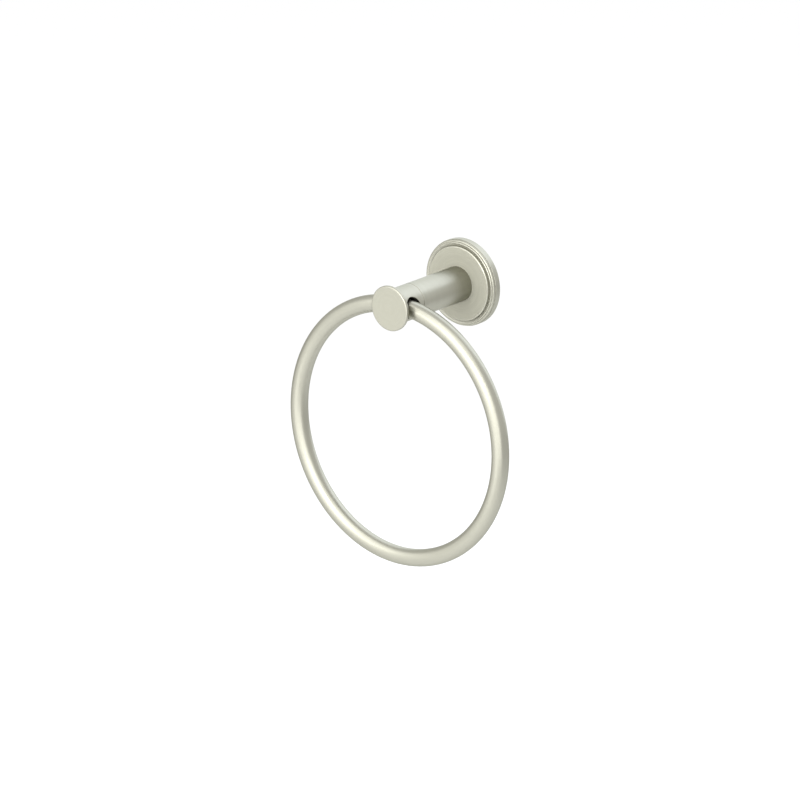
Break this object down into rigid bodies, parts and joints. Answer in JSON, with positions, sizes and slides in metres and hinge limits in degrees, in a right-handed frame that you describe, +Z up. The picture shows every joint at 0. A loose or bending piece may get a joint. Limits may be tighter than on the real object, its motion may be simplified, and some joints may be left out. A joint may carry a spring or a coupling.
{
  "type": "towel ring",
  "caption": "Wall-mounted towel ring: a round bar ring hangs loose in a cross hole near the disc end of a round post, which stands on a stepped round flange over a hidden wall bracket.",
  "frame": {"origin": "middle of the flange's back, on the wall plane and on the axis of the post", "axes": "+Y goes into the wall along the post's axis, +Z is up and +X is to the right of someone who faces the wall"},
  "size_m": [0.157, 0.0668, 0.1774],
  "materials": {
    "satin_nickel": "satin",
    "zinc_plated_steel": "satin",
    "black_oxide_steel": "satin"
  },
  "bodies": {
    "wall_mount": {"wall_bracket": "zinc_plated_steel", "flange": "satin_nickel", "set_screw": "black_oxide_steel", "post_screw": "zinc_plated_steel", "lock_washer": "zinc_plated_steel", "post": "satin_nickel", "ring_holder": "satin_nickel"},
    "ring": {"ring": "satin_nickel"}
  },
  "joints": [
    {"name": "ring_swing", "type": "hinge", "parent": "wall_mount", "child": "ring", "pos_m": [0, -0.0575, -0.00031], "axis": [-1, 0, 0], "range_deg": [-20, 200]}
  ]
}
